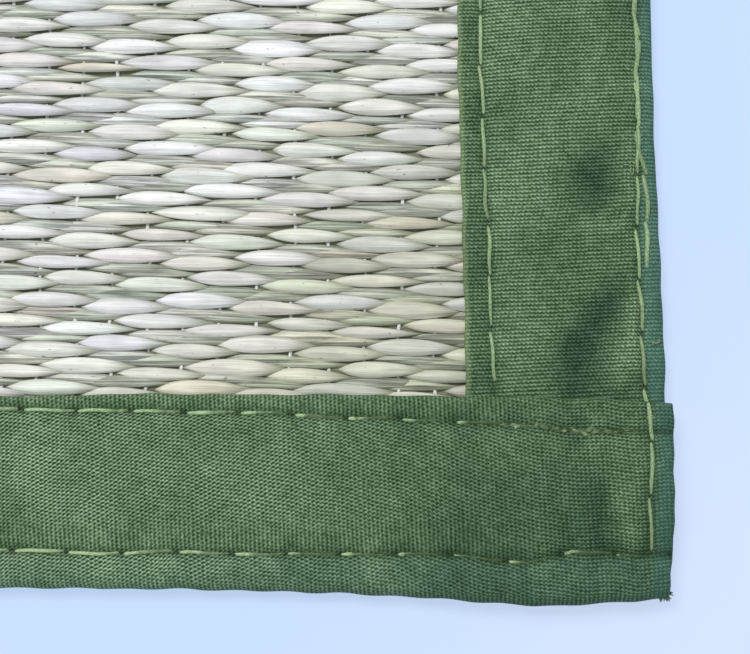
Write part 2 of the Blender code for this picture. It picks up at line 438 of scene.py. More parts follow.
# The cloth's weave is drawn by four waves: one across its rows, one across its ribs, their
# difference and their sum.
# kind: (angle in degrees and pitch in mm of the first two, share and turn of all four)
CLOTH_WAVES = {
    "side": (189.6, 0.528, 86.4, 0.510, ((0.045, 0), (0.18, 0), (0.056, 60), (0.080, 70))),
    "end": (10.7, 0.486, 86.4, 0.549, ((0.155, 0), (0.072, 0), (0.260, 135), (0.060, 7))),
}
RIBBED_SHARES = (0.4, 1.9, 0.4, 0.5)  # what an end strip's ribbed places make of the shares


def woven(n, thread, kind, ribs):
    """Light and dark of a plain weave about 0.5, with its yarns wandering a little."""
    row_angle, row_pitch, rib_angle, rib_pitch, shares = CLOTH_WAVES[kind]
    turns = []
    for angle, pitch, shift in ((row_angle, row_pitch, 7.0), (rib_angle, rib_pitch, 31.0)):
        turn = 2 * math.pi / pitch
        run = (turn * math.cos(math.radians(angle)), turn * math.sin(math.radians(angle)), 0)
        moved = n.vector("ADD", thread, (0, 0, shift))
        slow = n.noise(moved, (0.06, 0.06, 1.0), 1.0)
        quick = n.noise(moved, (0.9, 0.9, 1.0), 1.0)
        slip = n.plus(n.times(slow, 9.0), n.times(quick, 2.2))
        turns.append(n.plus(n.vector("DOT_PRODUCT", thread, run, "Value"), slip))
    turns += [n.math("SUBTRACT", turns[1], turns[0]), n.plus(turns[1], turns[0])]
    level = 0.5
    for number, (share, turn) in enumerate(shares):
        if kind == "end":
            share = n.remap(ribs, 0.0, 1.0, share, share * RIBBED_SHARES[number])
        if kind == "end" and number == 2:
            share = n.times(share, n.from_corner(0.010, 0.078, 0.26, 1.0))
        wave = n.math("COSINE", n.plus(turns[number], math.radians(turn)))
        level = n.math("MULTIPLY_ADD", wave, share, level)
    return level


def cloth_material(kind):
    """Green cotton: short yarns bright with painted highlight over pits of painted shade, in rows
    that wander a little.
    """
    n = Nodes(kind + " binding cloth")
    thread = n.attribute("thread")  # mm round the fold, mm along, and the strip's number
    # Groove and needle holes are painted shade; the brightness is mostly painted light and shade
    zone = n.split(n.attribute("zone"))  # outer lip, inner rim, seam groove, each 0 to 1
    light = n.split(n.attribute("light"))  # brightness, needle holes, ribs
    weave = woven(n, thread, kind, light[2])
    patch = n.noise(thread, (0.09, 0.09, 1.0), 1.5)
    slub = n.noise(thread, (0.6, 0.6, 1.0), 3.0)
    fuzz = n.noise(thread, (2.6, 2.6, 1.0), 2.0, 0.6)

    level = n.plus(weave, n.remap(slub, 0.3, 0.7, -0.06, 0.06))
    level = n.plus(level, n.remap(fuzz, 0.3, 0.7, -0.13, 0.13))
    colour = CLOTH_COLOURS[0][1]
    for (low, _), (high, paler) in zip(CLOTH_COLOURS, CLOTH_COLOURS[1:]):
        colour = n.mix(n.remap(level, low, high, 0.0, 1.0), colour, paler)
    bright = n.times(n.remap(patch, 0.3, 0.7, 0.80, 1.18), light[0])
    # Painted shade: the cloth grows darker towards each corner of the mat
    reach = {"side": 0.063, "end": 0.071}[kind]
    bright = n.times(bright, n.from_corner(0.002, reach, 0.52, 1.06))
    # Where the cloth is dark it is also greener
    bright = n.join(n.math("POWER", bright, 1.3), bright, n.math("POWER", bright, 1.07))
    colour = n.mix(1.0, colour, bright, "MULTIPLY")
    colour = n.mix(zone[0], colour, n.mix(1.0, colour, (0.86, 1.06, 1.28, 1), "MULTIPLY"))
    colour = n.mix(n.times(zone[0], 0.45), colour, (0.052, 0.130, 0.104, 1))
    colour = n.mix(n.times(zone[1], 0.40), colour, (0.240, 0.330, 0.150, 1))
    # Painted shade in the seam grooves and needle holes
    dark = n.math("MAXIMUM", n.times(zone[2], 0.57), light[1])
    colour = n.mix(dark, colour, (0.008, 0.024, 0.006, 1))
    n.shader.inputs["Specular IOR Level"].default_value = 0.12
    return n.finish(Base_Color=colour, Roughness=0.7, Normal=n.bump(level, 0.00016, 0.45))


def sewing_material():
    n = Nodes("sewing thread")
    run = n.attribute("thread")  # mm along, round, and 1 where the thread is pale
    twist = n.noise(run, (3.2, 1.1, 0.0), 3.0, 0.65)
    light = n.times(n.remap(twist, 0.36, 0.60, 0.40, 1.12), n.split(run)[2])
    # Painted shade: the thread grows darker towards each corner of the mat
    light = n.times(light, n.from_corner(0.012, 0.048, 0.76, 1.0))
    colour = n.mix(light, (0.026, 0.068, 0.014, 1), (0.425, 0.580, 0.310, 1))
    return n.finish(Base_Color=colour, Roughness=0.6, Normal=n.bump(twist, 0.0002))


def floor_material():
    """A pale blue sheet, bright enough of itself that shadows on it stay faint."""
    n = Nodes("pale floor")
    # A painted pool of light on the floor beside each corner of the mat
    colour = n.mix(n.from_corner(0.004, 0.055, 1.0, 0.0), FLOOR_COLOUR, FLOOR_LIGHT_POOL)
    n.put(colour, n.shader.inputs["Emission Color"])
    lit = n.mix(1.0, colour, (0.4, 0.4, 0.4, 1), "MULTIPLY")
    return n.finish(Base_Color=lit, Roughness=0.7, Emission_Strength=1.2)


# The weave

# Colours of whole stems, from the palest to the dullest
# (weight, colour)
PROUD_COLOURS = (
    (0.24, (0.80, 0.83, 0.78)),
    (0.15, (0.84, 0.83, 0.75)),
    (0.20, (0.84, 0.79, 0.77)),
    (0.15, (0.71, 0.76, 0.66)),
    (0.24, (0.82, 0.83, 0.88)),
    (0.02, (0.80, 0.69, 0.58)),
)
SUNK_COLOURS = (
    (0.34, (0.60, 0.62, 0.53)),
    (0.28, (0.65, 0.67, 0.65)),
    (0.22, (0.54, 0.60, 0.51)),
    (0.16, (0.64, 0.61, 0.54)),
)


def pick_colours(count, table, source):
    weights = np.array([w for w, _ in table])
    picked = source.choice(len(table), count, p=weights / weights.sum())
    return np.array([c for _, c in table])[picked]


def float_places(kind_index, low, high):
    """The middles of one stem row's floats inside a rectangle, with their row numbers."""
    _, across, phase, *_ = STEMS[kind_index]
    first = math.floor((ANCHOR[1] - high[1]) / GROUP) - 1
    last = math.ceil((ANCHOR[1] - low[1]) / GROUP) + 1
    groups = np.arange(first, last + 1)
    repeat = STEPS_IN_REPEAT * WARP_PITCH
    count = math.ceil((high[0] - low[0]) / repeat) + 2
    start = ANCHOR[0] + (phase - groups) * WARP_PITCH
    start = low[0] + np.mod(start - low[0], repeat)
    x = start[:, None] + repeat * np.arange(count)[None, :]
    y = np.broadcast_to((ANCHOR[1] - groups * GROUP + across * MM)[:, None], x.shape)
    number = np.broadcast_to(groups[:, None], x.shape)
    inside = (x < high[0]) & (y > low[1]) & (y < high[1])
    return x[inside], y[inside], number[inside]


def float_shells(kind_index, x, y, row, along, across, source, face_down=False):
    """Leaf-shaped shells, one for each middle: points, faces and the shader's values."""
    kind, _, _, length, width, crest, dive, rounding = STEMS[kind_index]
    count = len(x)
    # A stem keeps some of its character from float to float
    of_row = np.random.default_rng(700 + kind_index)
    rows = 4096
    row_width = of_row.normal(0, 0.07, rows)[row % rows]
    row_shift = of_row.normal(0, 0.35, rows)[row % rows] * MM
    table = PROUD_COLOURS if kind == "proud" else SUNK_COLOURS
    row_colour = pick_colours(rows, table, of_row)[row % rows]

    length = length * MM * (1 + source.normal(0, 0.055, count))
    width = width * MM * (1 + row_width + source.normal(0, 0.075, count))
    x = x + row_shift + source.normal(0, 0.3, count) * MM
    y = y + source.normal(0, 0.06, count) * MM
    crest = crest * MM + source.normal(0, 0.05, count) * MM
    lean = source.normal(0.011, 0.009, count)
    bow = source.normal(0.03, 0.05, count) * MM
    peak = source.normal(-0.20, 0.08, count)
    sharp_left = source.uniform(2.0, 2.7, count)
    sharp_right = source.uniform(1.5, 2.0, count)
    own = pick_colours(count, table, source)
    colour = 0.45 * row_colour + 0.55 * own
    colour = colour * (1 + source.normal(0, 0.06, count))[:, None]

    t = np.linspace(-1, 1, along + 2)
    t = np.sign(t) * np.abs(t) ** 0.85
    inner = t[1:-1]
    v = np.linspace(-1, 1, across)
    tt = np.broadcast_to(inner[None, :, None], (count, along, across))
    vv = np.broadcast_to(v[None, None, :], (count, along, across))

    def spread(values):
        return values[:, None, None]

    on_left = tt < spread(peak)
    shaped = np.abs(tt - spread(peak)) / np.where(on_left, 1 + spread(peak), 1 - spread(peak))
    sharp = np.where(on_left, spread(sharp_left), spread(sharp_right))
    half = np.clip(1 - shaped**sharp, 0, 1) ** 0.85

    px = spread(x) + tt * spread(length) / 2
    py = spread(y) + vv * spread(width) / 2 * half
    py = py + tt * spread(lean * length) / 2 * -1 + spread(bow) * (1 - tt * tt)
    pz = spread(crest) - dive * MM * np.abs(tt) ** 2.6
    pz = pz - rounding * MM * np.abs(vv) ** 2.6 * (0.3 + 0.7 * half)
    tips = []
    for end in (-1.0, 1.0):
        tip_y = y - end * lean * length / 2
        tip_z = crest - dive * MM * 1.02 - 0.12 * MM
        tips.append(np.stack([x + end * length / 2, tip_y, tip_z], 1)[:, None, :])

    body = np.stack([px, py, pz], 3).reshape(count, along * across, 3)
    points = np.concatenate([tips[0], body, tips[1]], 1)
    flat_t = np.concatenate([[-1.0], np.repeat(inner, across), [1.0]])
    flat_v = np.concatenate([[0.0], np.tile(v, along), [0.0]])
    size = along * across + 2
    place = np.stack([flat_t, flat_v, np.full(size, float(kind == "proud"))], 1)
    place = np.broadcast_to(place[None], (count, size, 3))
    stem = np.empty((count, size, 3))
    stem[:, :, 0] = flat_t[None] * length[:, None] / 2 / MM
    stem[:, :, 1] = flat_v[None] * width[:, None] / 2 / MM
    stem[:, :, 2] = source.uniform(0, 900, count)[:, None]
    tint = np.ones((count, size, 4))
    tint[:, :, :3] = np.clip(colour, 0, 0.90)[:, None, :]

    quads = grid_faces(along, across, 1)
    edge = np.arange(across - 1)
    left = np.stack([np.zeros_like(edge), edge + 2, edge + 1], 1)
    far = 1 + (along - 1) * across
    right = np.stack([far + edge, far + edge + 1, np.full_like(edge, size - 1)], 1)
    # Rows of the grid run along X and its columns along Y, so both face down as listed
    quads, fans = quads[:, ::-1], np.concatenate([left, right])[:, ::-1]
    first = (np.arange(count) * size)[:, None, None]
    quads = (quads[None] + first).reshape(-1, 4)
    fans = (fans[None] + first).reshape(-1, 3)
    if face_down:
        points[:, :, 2] = UNDER_MIRROR - points[:, :, 2]
        quads, fans = quads[:, ::-1], fans[:, ::-1]
    vectors = (values.reshape(-1, values.shape[2]) for values in (stem, place, tint))
    return points.reshape(-1, 3), quads, fans, *vectors


def weave_piece(name, material, low, high, steps, kinds, face_down=False, skip=None):
    """One piece of the weave: every float whose middle is inside the rectangle."""
    parts = []
    source = np.random.default_rng(sum(map(ord, name)))
    for kind_index in kinds:
        x, y, row = float_places(kind_index, low, high)
        if skip is not None:
            keep = ~((x > skip[0]) & (y < skip[1]))
            x, y, row = x[keep], y[keep], row[keep]
        along, across = steps
        if STEMS[kind_index][0] == "sunk" and steps == FINE_FLOAT:
            along, across = along - 4, across - 2
        parts.append(float_shells(kind_index, x, y, row, along, across, source, face_down))
    points, quads, fans, stem, place, tint = joined(parts, (1, 2))
    vectors = {"stem": stem, "place": place}
    made = mesh_object(name, material, points, [quads, fans], vectors, tint, plan_map(points))
    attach(made, "root")
    return made


def rush_ground(material):
    """The closed slab under the floats, which stands for the stems' hidden parts."""
    half = (MAT_WIDTH / 2 - GROUND_TRIM, MAT_LENGTH / 2 - GROUND_TRIM)
    columns, rows = GROUND_GRID
    x = np.linspace(-half[0], half[0], columns)
    y = np.linspace(-half[1], half[1], rows)
    xx, yy = np.meshgrid(x, y)
    layers = [
        np.stack([xx, yy, np.full_like(xx, height)], 2).reshape(-1, 3)
        for height in (GROUND_TOP, GROUND_BOTTOM)
    ]
    count = len(layers[0])
    top = grid_faces(rows, columns)
    index = np.arange(count).reshape(rows, columns)
    rim = np.concatenate([index[0], index[1:, -1], index[-1, -2::-1], index[-2:0:-1, 0]])
    following = np.roll(rim, -1)
    sides = np.stack([rim + count, following + count, following, rim], 1)
    faces = np.concatenate([top, top[:, ::-1] + count, sides])
    made = mesh_object("rush_ground", material, np.concatenate(layers), [faces])
    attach(made, "root")
    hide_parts("rush_panel")
    return made


def warp_threads(material):
    """Cotton threads along Y, which show only as white specks between the floats' tips."""
    reach = MAT_LENGTH / 2 - WARP_TRIM
    first = math.ceil((-MAT_WIDTH / 2 + WARP_TRIM - ANCHOR[0]) / WARP_PITCH - 0.5)
    last = math.floor((MAT_WIDTH / 2 - WARP_TRIM - ANCHOR[0]) / WARP_PITCH - 0.5)
    lines = ANCHOR[0] + (np.arange(first, last + 1) + 0.5) * WARP_PITCH
    seen = CORNER[1] + HERO_REACH[1]
    plain = np.arange(-reach, reach, WARP_STEP)
    fine = np.concatenate([np.arange(-reach, seen, GROUP / 4), plain[plain > seen]])
    parts = []
    for number, x in enumerate(lines):
        y, sides = (fine, 5) if x > CORNER[0] - HERO_REACH[0] else (plain, 3)
        angles = np.linspace(0, math.pi, sides)
        sway = 0.25 * MM * wavy(y, 40 + number, (0.031, 0.013))
        height = WARP_HEIGHT + 0.17 * MM * wavy(y, 90 + number, (0.0087, 0.0051))
        px = x + sway[:, None] + WARP_RADIUS * np.cos(angles)[None]
        pz = height[:, None] + WARP_RADIUS * np.sin(angles)[None]
        py = np.broadcast_to(y[:, None], px.shape)
        points = np.stack([px, py, pz], 2).reshape(-1, 3)
        parts.append((points, grid_faces(len(y), sides)[:, ::-1]))
    points, faces = joined(parts)
    made = mesh_object("warp_threads", material, points, [faces])
    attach(made, "root")
    return made


# The bindings


class Strip:
    """One folded strip of cloth: across is measured in from its outer line, along its length."""

    def __init__(self, name):
        self.name = name
        self.kind, turn, self.low, self.high, self.fine, self.phase = STRIPS[name]
        self.outline, self.seams, pitch, first_holes = KINDS[self.kind]
        self.pitch = pitch * MM
        side = self.kind == "side"
        self.half = (MAT_LENGTH if side else MAT_WIDTH) / 2
        self.edge = MAT_WIDTH / 2 - SIDE_INSET if side else MAT_LENGTH / 2
        self.turn = math.radians(turn)
        self.seed = sum(map(ord, name))
        sign = -1 if self.fine == "low" else 1
        self.holes = [sign * (self.half - from_end * MM) for from_end in first_holes]
        self.crossed_by = self.lies_under = ()
        self.least = 0.0
        every = np.linspace(-self.half, self.half, 2000)
        self.least = float(self.outer(every).min())

    def world(self, across, along, height):
        across, along, height = np.broadcast_arrays(across, along, height)
        c, s = math.cos(self.turn), math.sin(self.turn)
        x = (self.edge - across) * c - along * s
        y = (self.edge - across) * s + along * c
        return np.stack([x, y, height], -1)

    def local(self, x, y):
        """Across and along of a place in the mat's own frame."""
        c, s = math.cos(self.turn), math.sin(self.turn)
        return self.edge - (x * c + y * s), y * c - x * s

    def from_end(self, along):
        return self.half - np.abs(along)

    def read(self, table, column, along, waves=True):
        """A column of an outline or seam table at these places, with its bends rounded."""
        table = np.array(table) * MM
        from_end = self.from_end(along)
        share = np.where(along < 0, self.low, self.high)
        middle = table[-1, column]
        value = np.interp(from_end, table[:, 0], table[:, column])
        soft = 0.5 * (
            np.interp(from_end - 3 * MM, table[:, 0], table[:, column])
            + np.interp(from_end + 3 * MM, table[:, 0], table[:, column])
        )
        value = middle + share * (0.5 * value + 0.5 * soft - middle)
        if waves:
            for height, period in EDGE_WAVES:
                turn = 2 * math.pi * along / (period * MM) + self.phase * column
                value = value + height * MM * (1 - share / 2) * np.sin(turn)
        return value

    def outer(self, along):
        scallop = 0.05 * MM * np.cos(2 * math.pi * (along - self.holes[0]) / self.pitch)
        ragged = 0.07 * MM * wavy(along, self.seed + 5, (0.019, 0.011, 0.0067))
        return self.read(self.outline, 1, along) - self.least + scallop + ragged

    def inner(self, along):
        ragged = 0.10 * MM * wavy(along, self.seed + 6, (0.027, 0.012, 0.0071))
        return self.read(self.outline, 2, along) + ragged

    def seam(self, column, along):
        drift = 0.12 * MM * wavy(along, self.seed + column, (0.061, 0.033, 0.017))
        return self.read(self.seams, column, along, waves=False) + drift

    def crossing(self, along):
        return smooth((CORNER_REACH + CORNER_RAMP - self.from_end(along)) / CORNER_RAMP)

    def levels(self, along):
        """Heights of the strip's underside and plain top."""
        crossing = self.crossing(along)
        if self.kind == "side":
            return UNDERSIDE + crossing * UNDERSIDE_IN_CORNER, TOP + 0 * along
        return UNDERSIDE + 0 * along, TOP + crossing * (TOP_OVER_CORNER - TOP)

    def at_fine_end(self, across, along):
        """How far in from the outer line and the end, in mm, and whether at the fine end."""
        there = (along < 0) if self.fine == "low" else (along > 0)
        return across / MM, self.from_end(along) / MM, there

    def folds(self, across, along):
        height = np.zeros(np.broadcast_shapes(np.shape(across), np.shape(along)))
        u, d, there = self.at_fine_end(across, along)
        for first, last, half_width, rise in SOFT_FOLDS.get(self.name, ()):
            run = (last[0] - first[0], last[1] - first[1])
            square = run[0] ** 2 + run[1] ** 2
            share = ((u - first[0]) * run[0] + (d - first[1]) * run[1]) / square
            share = np.clip(share, 0, 1)
            off = (u - first[0] - share * run[0]) ** 2 + (d - first[1] - share * run[1]) ** 2
            height = height + there * rise * MM * np.exp(-off / half_width**2)
        return height

    def painted_fold_light(self, across, along):
        light = np.ones(np.broadcast_shapes(np.shape(across), np.shape(along)))
        u, d, there = self.at_fine_end(across, along)
        for middle, from_end, reach, run, change in PAINTED_FOLD_SHADES.get(self.name, ()):
            off = ((u - middle) / reach) ** 2 + ((d - from_end) / run) ** 2
            light = light + there * change * np.exp(-off)
        return light

    def over_seam(self, across, along):
        """How far a place on an end strip is inside the side's seam that runs over it."""
        point = self.world(across, along, 0.0)
        off = np.full(point.shape[:-1], 1.0)
        for side in self.crossed_by:
            there, s = side.local(point[..., 0], point[..., 1])
            there = there - side.seam(1, s)
            passed = np.clip(CROSSING_END - side.from_end(s), 0, None) * 0.8
            there = np.where(there > 0, 1, -1) * np.hypot(there, passed)
            off = np.where(np.abs(there) < np.abs(off), there, off)
        return off

    def relief(self, across, along):
        """Height that seams, puffs, puckers and folds add to the strip's plain top."""
        outer_seam, inner_seam = self.seam(1, along), self.seam(2, along)
        share = np.clip((across - outer_seam) / (inner_seam - outer_seam), 0, 1)
        swell = 0.75 + 0.25 * wavy(along, self.seed + 20, (0.083, 0.047, 0.029))
        height = PUFF * swell * np.sin(math.pi * share) ** 0.7
        from_end = self.from_end(along)
        hidden = 1.0 if self.kind == "end" else smooth((from_end - 24.5 * MM) / (2.5 * MM))
        for number, seam in enumerate((outer_seam, inner_seam)):
            off = across - seam
            beat = 2 * math.pi * (along - self.holes[number]) / self.pitch
            uneven = 0.75 + 0.35 * wavy(along, self.seed + 30 + number, (0.023, 0.013))
            height = height - GROOVE * bell(off, GROOVE_HALF_WIDTH) * (0.85 + 0.3 * np.cos(beat))
            lean = beat + off / PUCKER_SLANT * (0.5 + 0.4 * wavy(along, self.seed + 50, (0.041,)))
            uneven = uneven * (1 + 0.8 * smooth((70 * MM - from_end) / (50 * MM)))
            height = height - PUCKER * uneven * bell(off, PUCKER_HALF_WIDTH) * np.cos(lean)
        if self.crossed_by:
            off = self.over_seam(across, along)
            beat = 2 * math.pi * across / self.pitch + off / PUCKER_SLANT
            height = height - GROOVE * bell(off, GROOVE_HALF_WIDTH)
            height = height - PUCKER * bell(off, PUCKER_HALF_WIDTH) * np.cos(beat)
        height = height + 0.045 * MM * wavy(
            along + 0.45 * across, self.seed + 60, (0.0137, 0.0083, 0.0211)
        ) * wavy(across - 0.2 * along, self.seed + 61, (0.0113, 0.0189))
        height = height + 0.07 * MM * wavy(
            along - 0.8 * across, self.seed + 62, (0.033, 0.019, 0.052)
        )
        return (height + self.folds(across, along)) * hidden

    def top_height(self, across, along):
        return self.levels(along)[1] + self.relief(across, along)


# Shares of the way between the two seams, and of each lip, where the cloth is measured
BETWEEN_SEAMS = (0, 0.022, 0.05, 0.09, 0.14, 0.20, 0.27, 0.35, 0.43, 0.51, 0.59, 0.67)
BETWEEN_SEAMS += (0.74, 0.81, 0.87, 0.92, 0.955, 0.98, 1.0)
LIP = (0.2, 0.4, 0.6, 0.75, 0.88)
FOLD_STEPS = 8
# The lower hem and the upper inner edge, in mm: (across, height) and (across past the edge,
# share of the drop to the rush)
HEM = ((23.2, 1.0), (24.2, 0.9), (24.5, 0.5), (24.2, 0.06), (20, 0), (14, 0))
INNER_EDGE = ((-0.10, 0.07), (0.06, 0.30), (0.10, 0.62), (0.02, 0.92), (-0.9, 1.0))
# An end strip's folded-in ends: (mm past the strip's end, share of the way to half height)
END_TUCK = ((0.55, 0.10), (0.86, 0.36), (0.84, 0.72), (0.2, 0.90), (-1.2, 0.93))
FINE_STEP = 0.45 * MM
PLAIN_STEP = 1.7 * MM
FINE_LENGTH = 100 * MM


def stations_of(strip):
    """Places along the strip, close together where the camera is near."""
    end = strip.half - (SIDE_END_INSET if strip.kind == "side" else 0.9 * MM)
    plain = np.arange(-end, end, PLAIN_STEP)
    if strip.fine is None:
        return np.append(plain, end)
    fine = np.arange(end - FINE_LENGTH, end, FINE_STEP)
    along = np.append(plain[plain < fine[0] - PLAIN_STEP / 2], np.append(fine, end))
    return -along[::-1] if strip.fine == "low" else along


def strip_section(strip, along):
    """Across and height of every column at these stations, from the lower hem round."""
    outer, inner = strip.outer(along), strip.inner(along)
    outer_seam, inner_seam = strip.seam(1, along), strip.seam(2, along)
    low, top = strip.levels(along)
    radius = (top - low) / 2
    centre = outer + radius
    columns = []
    for across, rise in HEM:
        columns.append((across * MM + 0 * along, low + rise * MM))
    columns.append((centre * 0.5 + 5 * MM, low + 0 * along))
    for step in range(FOLD_STEPS):
        angle = math.pi * (step / FOLD_STEPS - 0.5)
        across = centre - radius * math.cos(angle)
        lift = max(math.sin(angle), 0) * strip.relief(np.maximum(across, centre), along)
        columns.append((across, low + radius * (1 + math.sin(angle)) + lift))
    start = np.minimum(centre, outer_seam - 0.25 * MM)
    lip = [start + share * (outer_seam - start) for share in LIP]
    lip += [outer_seam + share * (inner_seam - outer_seam) for share in BETWEEN_SEAMS]
    shoulder = inner - 0.35 * MM
    lip += [inner_seam + share * (shoulder - inner_seam) for share in LIP + (1.0,)]
    for across in lip:
        columns.append((across, top + strip.relief(across, along)))
    edge_height = top + strip.relief(shoulder, along)
    resting = RUSH_TOP + 0 * along
    if strip.kind == "end":
        resting = resting + strip.crossing(along) * (TOP + 0.05 * MM - RUSH_TOP)
    drop = edge_height - resting
    for out, share in INNER_EDGE:
        columns.append((inner + out * MM, edge_height - share * drop))
    across = np.stack([c[0] for c in columns], 1)
    height = np.stack([np.broadcast_to(c[1], along.shape) for c in columns], 1)
    return across, height


def strip_zones(strip, across, along, height):
    """Outer lip, inner rim, painted groove shade; then painted light and shade, painted hole shade,
    ribs.
    """
    along = along[:, None]
    outer_seam, inner_seam = strip.seam(1, along), strip.seam(2, along)
    inner = strip.inner(along)
    on_top = (height > strip.levels(along)[1] - 1.6 * MM).astype(float)
    lip = smooth((outer_seam - across + 0.2 * MM) / (1.2 * MM)) * on_top
    rim = smooth((across - inner + 0.55 * MM) / (0.4 * MM)) * on_top
    near = np.minimum(np.abs(across - outer_seam), np.abs(across - inner_seam))
    # Painted light and shade: fold ridges paler, fold valleys darker, and the painted fold shades
    folds = strip.folds(across, along) / MM
    light = (1 + np.clip(1.1 * folds, -0.42, 0.40)) * strip.painted_fold_light(across, along)
    ribs = 0 * light
    if strip.kind == "side":
        # Painted shade on the slope of the inner lip and beside the outer seam
        inner_lip = smooth((across - inner_seam + 0.1 * MM) / (0.6 * MM)) * (1 - rim)
        beside = bell(across - outer_seam - 2.2 * MM, 2.4 * MM)
        light = light * (1 - 0.22 * inner_lip) * (1 - 0.20 * beside)
    else:
        rim = 0.15 * rim
        light = light * (1 + 0.09 * smooth((outer_seam - across) / (1 * MM)))
        lip = 0.2 * lip
        # Painted light and shade on the cloth's humps beside each seam, strongest near the corner
        nearness = smooth((95 * MM - strip.half + np.abs(along)) / (60 * MM))
        for number, seam in enumerate((outer_seam, inner_seam)):
            beat = 2 * math.pi * (along - strip.holes[number]) / strip.pitch
            for shift, strength in ((-1.5 * MM, 0.20), (1.3 * MM, 0.12)):
                beside = bell(across - seam - shift, 1.3 * MM)
                uneven = 0.6 + 0.6 * wavy(along, strip.seed + 33 + number, (0.017, 0.011))
                light = light - strength * nearness * beside * uneven * np.cos(beat - 0.9)
        off = strip.over_seam(across, along)
        near = np.minimum(near, np.abs(off))
        beyond = smooth((-off + 0.4 * MM) / (2.2 * MM)) * (off > -8 * MM) * on_top
        lip = np.maximum(lip, 0.8 * beyond)
        ribs = smooth((outer_seam + 6.0 * MM - across) / (4.5 * MM)) * (across > outer_seam)
        ribs = np.maximum(ribs, smooth((across - inner_seam + 0.3 * MM) / (0.6 * MM)))
        ribs = ribs * smooth((strip.from_end(along) - 12 * MM) / (16 * MM))
        ribs = np.maximum(ribs, smooth((strip.outer(along) + 1.6 * MM - across) / (0.8 * MM)))
    # Painted shade along the seam grooves, and in the needle holes below
    groove = bell(near, 0.46 * MM) * on_top
    holes = 0 * light
    for number, seam in enumerate((outer_seam, inner_seam)):
        beat = (along - strip.holes[number]) / strip.pitch
        past = (beat - np.round(beat)) * strip.pitch
        if strip.kind == "end":
            past = (past + 0.25 * MM) / 1.7
        away = np.hypot(past, across - seam)
        holes = np.maximum(holes, 0.94 * bell(away, 0.48 * MM) * on_top)
    zones = np.stack(np.broadcast_arrays(lip, rim, groove), 2)
    return zones, np.stack(np.broadcast_arrays(light, holes, ribs), 2)


def binding(strip, material):
    """The strip's folded cloth, one sheet from its lower hem round to its inner edge."""
    name = strip.name
    along = stations_of(strip)
    across, height = strip_section(strip, along)
    steps = np.hypot(np.diff(across, axis=1), np.diff(height, axis=1))
    unrolled = np.concatenate([np.zeros((len(along), 1)), np.cumsum(steps, 1)], 1)
    zones, light = strip_zones(strip, across, along, height)
    lengths = np.broadcast_to(along[:, None], across.shape)
    grids = [across, height, lengths, unrolled, zones, light]

    if strip.kind == "end":
        # The strip's own ends are folded in, so that each closes like a pocket
        low, top = strip.levels(along)
        for row, sign in ((0, -1), (-1, 1)):
            across, height = grids[0][row], grids[1][row]
            middle = (low[row] + top[row]) / 2
            closed = []
            for out, share in END_TUCK:
                tucked = middle + (height - middle) * (1 - share)
                round_off = across + 0.5 * MM * share * (across < 3 * MM)
                station = along[row] + sign * out * MM
                ragged = 0.10 * MM * wavy(across, strip.seed + 70, (0.0091, 0.0043))
                ragged = ragged - 0.5 * MM * smooth((9 * MM - across) / (5 * MM))
                closed.append((round_off, tucked, station + sign * ragged - sign * 0.0001))
            if sign < 0:
                closed.reverse()
            added = [np.array(rows) for rows in zip(*closed)]
            added += [np.stack([grid[row]] * len(END_TUCK)) for grid in grids[3:]]
            pairs = zip(added, grids) if sign < 0 else zip(grids, added)
            grids = [np.concatenate(pair) for pair in pairs]
    across, height, lengths, unrolled, zones, light = grids
    points = strip.world(across, lengths, height).reshape(-1, 3)
    thread = np.stack([unrolled / MM, lengths / MM, np.full_like(lengths, strip.seed)], 2)
    flat = np.stack([unrolled, lengths - lengths.min()], 2).reshape(-1, 2)
    faces = [grid_faces(*across.shape)[:, ::-1]]
    vectors = {"thread": thread, "zone": zones, "light": light}
    made = mesh_object(name + "_cloth", material, points, faces, vectors, None, flat / flat.max())
    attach(made, "root")
    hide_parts(name)
    return made


UP = np.array((0.0, 0.0, 1.0))


def thread_tubes(centre, side, radius, sides):
    """Tubes round paths: centre and side are (count, stations, 3); returns points and faces."""
    count, stations, _ = centre.shape
    run = np.gradient(centre, axis=1)
    run /= np.linalg.norm(run, axis=2, keepdims=True)
    side = side - (side * run).sum(2, keepdims=True) * run
    side /= np.linalg.norm(side, axis=2, keepdims=True)
    up = np.cross(run, side)
    angles = np.linspace(0, 2 * math.pi, sides, endpoint=False)
    ring = (
        np.cos(angles)[None, None, :, None] * side[:, :, None, :]
        + np.sin(angles)[None, None, :, None] * up[:, :, None, :]
    )
    points = centre[:, :, None, :] + radius[:, :, None, None] * ring
    i = np.arange(stations - 1)[:, None] * sides
    j = np.arange(sides)[None, :]
    following = (j + 1) % sides
    quads = np.stack([i + j, i + following, i + sides + following, i + sides + j], 2)
    quads = quads.reshape(-1, 4)
    first = (np.arange(count) * stations * sides)[:, None, None]
    return points.reshape(-1, 3), (quads[None] + first).reshape(-1, 4)


def thread_values(along, pale, sides):
    """What the thread's shader reads at each point: mm along, step round, and paleness."""
    run = np.repeat(along.ravel(), sides) / MM
    ring = np.tile(np.arange(sides), along.size)
    return np.stack([run, ring, np.repeat(pale.ravel(), sides)], 1)


